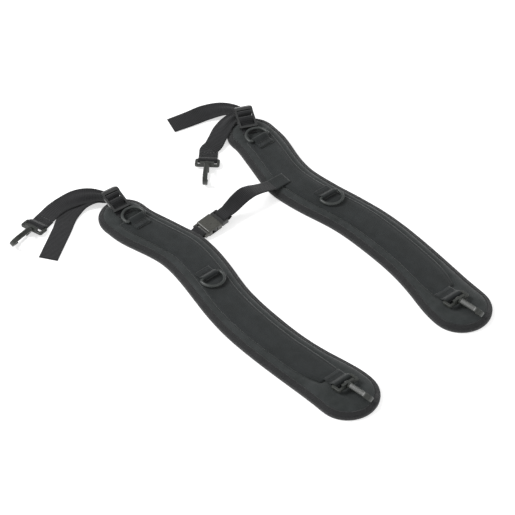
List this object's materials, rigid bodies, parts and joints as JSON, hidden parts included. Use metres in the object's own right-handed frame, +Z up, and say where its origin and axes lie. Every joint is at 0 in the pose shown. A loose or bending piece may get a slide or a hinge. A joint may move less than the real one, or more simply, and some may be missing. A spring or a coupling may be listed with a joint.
{
  "type": "padded tool-belt shoulder straps",
  "caption": "Pair of contoured padded shoulder straps for a tool belt, joined by a buckled sternum strap, with D-rings, snap hooks and ladder-lock webbing.",
  "frame": {"origin": "centre of the laid-out harness's bounding box, on the ground plane", "axes": "+Z up; +Y along the pads towards the ladder locks; +X from the left pad to the right pad"},
  "size_m": [0.4086, 0.5719, 0.0329],
  "materials": {
    "pad_cover": "woven nylon, matt",
    "pad_lining": "spacer mesh, matt",
    "pad_foam": "closed-cell foam",
    "binding": "ribbed binding tape",
    "strip_fabric": "woven nylon, matt",
    "webbing": "polypropylene webbing",
    "ring_plastic": "moulded acetal, satin",
    "hook_plastic": "moulded acetal, satin",
    "lock_plastic": "moulded acetal, gloss",
    "buckle_plastic": "moulded acetal, gloss",
    "steel_pin": "turned"
  },
  "bodies": {
    "left_pad": {"left_pad_lining": "pad_lining", "left_pad_foam": "pad_foam", "left_pad_cover": "pad_cover", "left_edge_binding": "binding", "left_center_strip": "strip_fabric", "left_upper_ring_tab": "webbing", "left_middle_ring_tab": "webbing", "left_lower_hook_loop": "webbing", "left_adjuster_tab": "webbing", "sternum_anchor_loop": "webbing"},
    "left_upper_ring_body": {"left_upper_ring": "ring_plastic"},
    "left_middle_ring_body": {"left_middle_ring": "ring_plastic"},
    "left_lower_hook_loop_body": {"left_lower_hook_frame": "hook_plastic"},
    "left_lower_hook_body_swivelling": {"left_lower_hook_body": "hook_plastic", "left_lower_hook_gate_pin": "steel_pin"},
    "left_lower_hook_gate_body": {"left_lower_hook_gate": "hook_plastic"},
    "left_lock_body": {"left_ladder_lock": "lock_plastic", "left_adjuster_loop": "webbing", "left_threaded_webbing": "webbing"},
    "left_strap_body": {"left_adjuster_webbing": "webbing"},
    "left_strap_hook_loop_body": {"left_strap_hook_frame": "hook_plastic"},
    "left_strap_hook_body_swivelling": {"left_strap_hook_body": "hook_plastic", "left_strap_hook_gate_pin": "steel_pin"},
    "left_strap_hook_gate_body": {"left_strap_hook_gate": "hook_plastic"},
    "right_pad": {"right_pad_lining": "pad_lining", "right_pad_foam": "pad_foam", "right_pad_cover": "pad_cover", "right_edge_binding": "binding", "right_center_strip": "strip_fabric", "right_upper_ring_tab": "webbing", "right_middle_ring_tab": "webbing", "right_lower_hook_loop": "webbing", "right_adjuster_tab": "webbing", "sternum_sewn_end": "webbing"},
    "right_upper_ring_body": {"right_upper_ring": "ring_plastic"},
    "right_middle_ring_body": {"right_middle_ring": "ring_plastic"},
    "right_lower_hook_loop_body": {"right_lower_hook_frame": "hook_plastic"},
    "right_lower_hook_body_swivelling": {"right_lower_hook_body": "hook_plastic", "right_lower_hook_gate_pin": "steel_pin"},
    "right_lower_hook_gate_body": {"right_lower_hook_gate": "hook_plastic"},
    "right_lock_body": {"right_ladder_lock": "lock_plastic", "right_adjuster_loop": "webbing", "right_threaded_webbing": "webbing"},
    "right_strap_body": {"right_adjuster_webbing": "webbing"},
    "right_strap_hook_loop_body": {"right_strap_hook_frame": "hook_plastic"},
    "right_strap_hook_body_swivelling": {"right_strap_hook_body": "hook_plastic", "right_strap_hook_gate_pin": "steel_pin"},
    "right_strap_hook_gate_body": {"right_strap_hook_gate": "hook_plastic"},
    "sternum_socket_body": {"sternum_socket": "buckle_plastic"},
    "sternum_plug_body": {"sternum_plug": "buckle_plastic", "sternum_strap": "webbing"},
    "sternum_left_prong_body": {"sternum_left_prong": "buckle_plastic"},
    "sternum_right_prong_body": {"sternum_right_prong": "buckle_plastic"}
  },
  "joints": [
    {"name": "left_upper_ring_flip", "type": "hinge", "parent": "left_pad", "child": "left_upper_ring_body", "pos_m": [-0.05566, 0.15025, 0.01686], "axis": [1, 0, 0], "range_deg": [0, 160]},
    {"name": "left_middle_ring_flip", "type": "hinge", "parent": "left_pad", "child": "left_middle_ring_body", "pos_m": [-0.05266, 0.00625, 0.01686], "axis": [-1, 0, 0], "range_deg": [0, 160]},
    {"name": "left_lower_hook_tip", "type": "hinge", "parent": "left_pad", "child": "left_lower_hook_loop_body", "pos_m": [-0.04766, -0.23375, 0.0156], "axis": [-1, 0, 0], "range_deg": [-2, 110]},
    {"name": "left_lower_hook_swivel", "type": "hinge", "parent": "left_lower_hook_loop_body", "child": "left_lower_hook_body_swivelling", "pos_m": [-0.04766, -0.23347, 0.01738], "axis": [0, -0.9877, 0.1564], "continuous": true},
    {"name": "left_lower_hook_gate_swing", "type": "hinge", "parent": "left_lower_hook_body_swivelling", "child": "left_lower_hook_gate_body", "pos_m": [-0.04486, -0.25209, 0.01613], "axis": [-0.829, -0.0875, -0.5523], "range_deg": [0, 25], "stiffness_Nm_per_rad": 0.02, "springref_deg": -17.19},
    {"name": "left_lock_lift", "type": "hinge", "parent": "left_pad", "child": "left_lock_body", "pos_m": [-0.05937, 0.17611, 0.01393], "axis": [0.9962, -0.0872, 0], "range_deg": [0, 16]},
    {"name": "left_strap_level", "type": "hinge", "parent": "left_lock_body", "child": "left_strap_body", "pos_m": [-0.0569, 0.20431, 0.01685], "axis": [0.9962, -0.0872, 0], "range_deg": [-16, 0], "deforming": ["left_adjuster_webbing"]},
    {"name": "left_strap_hook_tip", "type": "hinge", "parent": "left_strap_body", "child": "left_strap_hook_loop_body", "pos_m": [-0.15366, 0.23325, 0.004], "axis": [-0.2756, 0.9613, 0], "range_deg": [-3, 110]},
    {"name": "left_strap_hook_swivel", "type": "hinge", "parent": "left_strap_hook_loop_body", "child": "left_strap_hook_body_swivelling", "pos_m": [-0.15345, 0.23331, 0.00579], "axis": [-0.9541, -0.2736, 0.1219], "continuous": true},
    {"name": "left_strap_hook_gate_swing", "type": "hinge", "parent": "left_strap_hook_body_swivelling", "child": "left_strap_hook_gate_body", "pos_m": [-0.17201, 0.23059, 0.00371], "axis": [-0.1801, 0.8493, 0.4963], "range_deg": [0, 25], "stiffness_Nm_per_rad": 0.02, "springref_deg": -17.19},
    {"name": "right_upper_ring_flip", "type": "hinge", "parent": "right_pad", "child": "right_upper_ring_body", "pos_m": [0.16666, 0.16528, 0.01686], "axis": [0.9998, -0.0175, 0], "range_deg": [0, 160]},
    {"name": "right_middle_ring_flip", "type": "hinge", "parent": "right_pad", "child": "right_middle_ring_body", "pos_m": [0.16114, 0.02136, 0.01686], "axis": [-0.9998, 0.0175, 0], "range_deg": [0, 160]},
    {"name": "right_lower_hook_tip", "type": "hinge", "parent": "right_pad", "child": "right_lower_hook_loop_body", "pos_m": [0.15196, -0.21852, 0.0156], "axis": [-0.9998, 0.0175, 0], "range_deg": [-2, 110]},
    {"name": "right_lower_hook_swivel", "type": "hinge", "parent": "right_lower_hook_loop_body", "child": "right_lower_hook_body_swivelling", "pos_m": [0.15196, -0.21824, 0.01738], "axis": [-0.0172, -0.9875, 0.1564], "continuous": true},
    {"name": "right_lower_hook_gate_swing", "type": "hinge", "parent": "right_lower_hook_body_swivelling", "child": "right_lower_hook_gate_body", "pos_m": [0.15443, -0.23691, 0.01613], "axis": [-0.8304, -0.073, -0.5523], "range_deg": [0, 25], "stiffness_Nm_per_rad": 0.02, "springref_deg": -17.19},
    {"name": "right_lock_lift", "type": "hinge", "parent": "right_pad", "child": "right_lock_body", "pos_m": [0.16949, 0.19162, 0.01393], "axis": [0.9063, -0.4226, 0], "range_deg": [0, 16]},
    {"name": "right_strap_level", "type": "hinge", "parent": "right_lock_body", "child": "right_strap_body", "pos_m": [0.18145, 0.21727, 0.01685], "axis": [0.9063, -0.4226, 0], "range_deg": [-16, 0], "deforming": ["right_adjuster_webbing"]},
    {"name": "right_strap_hook_tip", "type": "hinge", "parent": "right_strap_body", "child": "right_strap_hook_loop_body", "pos_m": [0.09334, 0.18575, 0.004], "axis": [-0.7193, 0.6947, 0], "range_deg": [-3, 110]},
    {"name": "right_strap_hook_swivel", "type": "hinge", "parent": "right_strap_hook_loop_body", "child": "right_strap_hook_body_swivelling", "pos_m": [0.09349, 0.18591, 0.00579], "axis": [-0.6895, -0.714, 0.1219], "continuous": true},
    {"name": "right_strap_hook_gate_swing", "type": "hinge", "parent": "right_strap_hook_body_swivelling", "child": "right_strap_hook_gate_body", "pos_m": [0.08052, 0.17248, 0.00304], "axis": [-0.7193, 0.6947, 0], "range_deg": [0, 25], "stiffness_Nm_per_rad": 0.02, "springref_deg": -17.19},
    {"name": "sternum_socket_swing", "type": "hinge", "parent": "left_pad", "child": "sternum_socket_body", "pos_m": [-0.00286, 0.08525, 0.0057], "axis": [0, -1, 0], "range_deg": [0, 90]},
    {"name": "sternum_release", "type": "slide", "parent": "sternum_socket_body", "child": "sternum_plug_body", "axis": [0.9903, 0, 0.1392], "range_m": [0, 0.04], "deforming": ["sternum_left_prong", "sternum_right_prong"]},
    {"name": "sternum_left_prong_squeeze", "type": "hinge", "parent": "sternum_plug_body", "child": "sternum_left_prong_body", "pos_m": [0.02338, 0.09275, 0.00939], "axis": [-0.1392, 0, 0.9903], "range_deg": [0, 10], "stiffness_Nm_per_rad": 0.05},
    {"name": "sternum_right_prong_squeeze", "type": "hinge", "parent": "sternum_plug_body", "child": "sternum_right_prong_body", "pos_m": [0.02338, 0.07775, 0.00939], "axis": [0.1392, 0, -0.9903], "range_deg": [0, 10], "stiffness_Nm_per_rad": 0.05},
    {"name": "right_pad_fold", "type": "hinge", "parent": "sternum_plug_body", "child": "right_pad", "pos_m": [0.12154, 0.08525, 0.0118], "axis": [0, -1, 0], "range_deg": [-30, 75]}
  ],
  "couplings": [
    {"joint": "left_strap_level", "follows": "left_lock_lift", "ratio": -1},
    {"joint": "right_strap_level", "follows": "right_lock_lift", "ratio": -1},
    {"joint": "sternum_right_prong_squeeze", "follows": "sternum_left_prong_squeeze", "ratio": 1}
  ]
}
